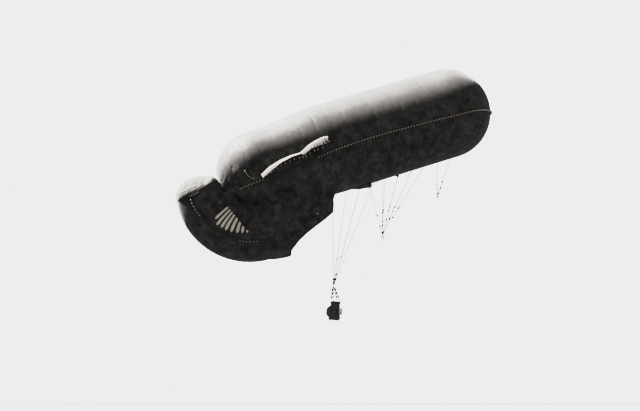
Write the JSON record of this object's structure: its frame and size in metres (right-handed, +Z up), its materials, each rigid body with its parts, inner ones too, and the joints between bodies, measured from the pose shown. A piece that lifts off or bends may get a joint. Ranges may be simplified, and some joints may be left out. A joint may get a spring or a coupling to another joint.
{
  "type": "captive kite balloon",
  "caption": "Captive observation kite balloon: gas bag flying nose up, steering bag round the tail, side sails, rope rigging and a wicker basket slung below.",
  "frame": {"origin": "on the gas bag's long axis near its centre of volume, where the air carries it", "axes": "+X towards the nose, level with the ground, +Y to port, +Z up; the gas bag's own axis is 18.8 degrees nose up"},
  "size_m": [22.7348, 7.9314, 18.374],
  "materials": {
    "envelope": "rubberised cotton, faint sheen",
    "lobe": "rubberised cotton, matt",
    "sail": "plain cotton, matt",
    "belt": "webbing",
    "rope": "hemp rope",
    "steel": "worn black",
    "wood": "varnished ash",
    "wicker": "woven willow",
    "leather": "worn",
    "canvas": "coarse canvas"
  },
  "bodies": {
    "balloon": {"gas_bag": "envelope", "steering_bag": "lobe", "air_scoop": "lobe", "filling_neck": "belt", "rope_belt": "belt", "side_sail_starboard": "sail", "side_sail_port": "sail", "steering_bag_belt_starboard": "belt", "steering_bag_belt_port": "belt", "valve_ring": "wood", "basket_stay_starboard_1": "rope", "basket_stay_starboard_2": "rope", "basket_stay_starboard_3": "rope", "tether_stay_starboard_1": "rope", "tether_stay_starboard_2": "rope", "tether_stay_starboard_3": "rope", "tether_stay_starboard_4": "rope", "nose_stay_starboard": "rope", "basket_stay_port_1": "rope", "basket_stay_port_2": "rope", "basket_stay_port_3": "rope", "tether_stay_port_1": "rope", "tether_stay_port_2": "rope", "tether_stay_port_3": "rope", "tether_stay_port_4": "rope", "nose_stay_port": "rope", "nose_ring": "steel", "basket_shackle": "steel", "tether_shackle": "steel"},
    "valve": {"valve_lid": "wood"},
    "yoke": {"yoke_link": "steel"},
    "basket_body": {"basket_crown": "steel", "basket_leg_front_port": "rope", "basket_leg_front_starboard": "rope", "basket_leg_rear_port": "rope", "basket_leg_rear_starboard": "rope", "basket": "wicker", "basket_rim": "leather", "floor_board": "wood", "basket_skid_front": "wood", "basket_skid_rear": "wood", "rope_peg": "wood", "rope_coil": "rope", "side_pack": "canvas", "ballast_starboard": "canvas", "ballast_port": "canvas"},
    "tether": {"tether_link": "steel"}
  },
  "joints": [
    {"name": "valve_slide", "type": "slide", "parent": "balloon", "child": "valve", "axis": [-0.9466, 0, -0.3223], "range_m": [0, 0.07], "stiffness_N_per_m": 400, "springref_m": -0.05},
    {"name": "basket_swing_fore_aft", "type": "hinge", "parent": "balloon", "child": "yoke", "pos_m": [-1.99, 0, -10.45], "axis": [0, 1, 0], "range_deg": [-30, 30]},
    {"name": "basket_swing_sideways", "type": "hinge", "parent": "yoke", "child": "basket_body", "pos_m": [-1.99, 0, -10.64], "axis": [1, 0, 0], "range_deg": [-30, 30]},
    {"name": "tether_swing", "type": "hinge", "parent": "balloon", "child": "tether", "pos_m": [1.58, 0, -6.8], "axis": [0, 1, 0], "range_deg": [-45, 45]}
  ]
}
